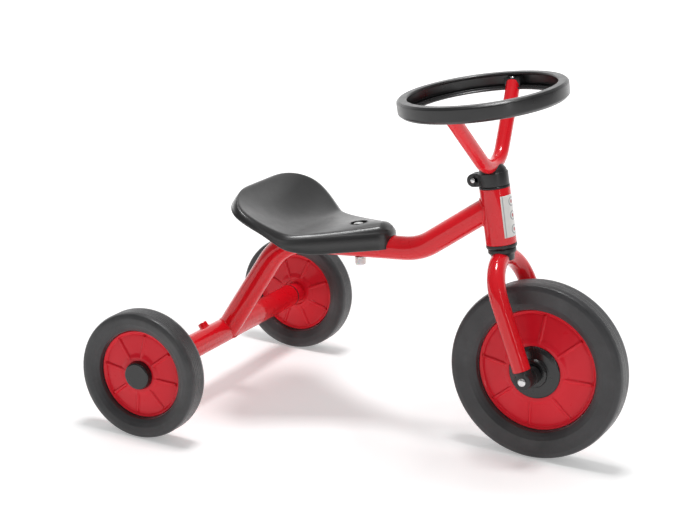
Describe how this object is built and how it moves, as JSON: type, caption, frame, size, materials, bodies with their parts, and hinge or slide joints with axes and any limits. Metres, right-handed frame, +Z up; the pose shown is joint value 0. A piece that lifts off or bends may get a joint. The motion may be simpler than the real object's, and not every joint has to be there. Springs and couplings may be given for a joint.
{
  "type": "ride-on tricycle",
  "caption": "Pedal-less toddler push tricycle with a bent tube frame, bucket seat, arch fork and round steering wheel.",
  "frame": {"origin": "on the ground, midway between the front of the front tyre and the back of the rear tyres, on the plane of symmetry", "axes": "+X forward, +Y to the rider's left, +Z up"},
  "size_m": [0.568, 0.397, 0.4203],
  "materials": {
    "red_powder_coat": "gloss red powder coat on steel tube",
    "red_plastic": "gloss moulded red plastic",
    "tyre_rubber": "satin dark grey solid rubber",
    "seat_plastic": "satin black moulded plastic",
    "ring_plastic": "satin black moulded plastic",
    "hub_plastic": "gloss black moulded plastic",
    "black_plastic": "satin black moulded plastic",
    "pale_nylon": "natural nylon bearing",
    "pale_cap": "milky moulded plastic",
    "sticker": "printed vinyl sticker without lettering",
    "zinc_steel": "bright zinc plated steel"
  },
  "bodies": {
    "frame": {"head_tube": "red_powder_coat", "main_tube": "red_powder_coat", "rear_axle_tube": "red_powder_coat", "axle_bosses": "red_powder_coat", "lower_head_bush": "black_plastic", "upper_head_bush": "black_plastic", "head_badge": "sticker", "seat_shell": "seat_plastic", "seat_bolt": "zinc_steel", "seat_washers": "zinc_steel", "seat_nut": "zinc_steel", "seat_nut_cap": "pale_cap", "rear_axle_rod": "zinc_steel", "axle_tube_bushes": "black_plastic", "axle_push_nuts": "zinc_steel"},
    "steering": {"fork_tube": "red_powder_coat", "steerer_tube": "red_powder_coat", "crown_cap": "black_plastic", "handlebar_stem": "red_powder_coat", "handlebar_bar": "red_powder_coat", "stem_clamp": "black_plastic", "clamp_screw": "zinc_steel", "clamp_nut": "zinc_steel", "steering_ring": "ring_plastic", "ring_screws": "zinc_steel", "fork_end_caps": "black_plastic", "front_axle_bolt": "zinc_steel", "front_axle_nut": "zinc_steel", "front_axle_spacers": "black_plastic"},
    "front_wheel": {"front_tyre": "tyre_rubber", "front_rim": "red_plastic", "front_hub_covers": "hub_plastic", "front_wheel_bushes": "pale_nylon"},
    "rear_wheel_left": {"rear_tyre_left": "tyre_rubber", "rear_rim_left": "red_plastic", "hub_cap_left": "hub_plastic", "wheel_bushes_left": "pale_nylon"},
    "rear_wheel_right": {"rear_tyre_right": "tyre_rubber", "rear_rim_right": "red_plastic", "hub_cap_right": "hub_plastic", "wheel_bushes_right": "pale_nylon"}
  },
  "joints": [
    {"name": "steering", "type": "hinge", "parent": "frame", "child": "steering", "pos_m": [0.15802, 0, 0.09476], "axis": [-0.1977, 0, 0.9803], "continuous": true},
    {"name": "front_wheel_spin", "type": "hinge", "parent": "steering", "child": "front_wheel", "pos_m": [0.184, 0, 0.1], "axis": [0, 1, 0], "continuous": true},
    {"name": "rear_wheel_left_spin", "type": "hinge", "parent": "frame", "child": "rear_wheel_left", "pos_m": [-0.212, 0.1836, 0.072], "axis": [0, 1, 0], "continuous": true},
    {"name": "rear_wheel_right_spin", "type": "hinge", "parent": "frame", "child": "rear_wheel_right", "pos_m": [-0.212, -0.1836, 0.072], "axis": [0, 1, 0], "continuous": true}
  ]
}
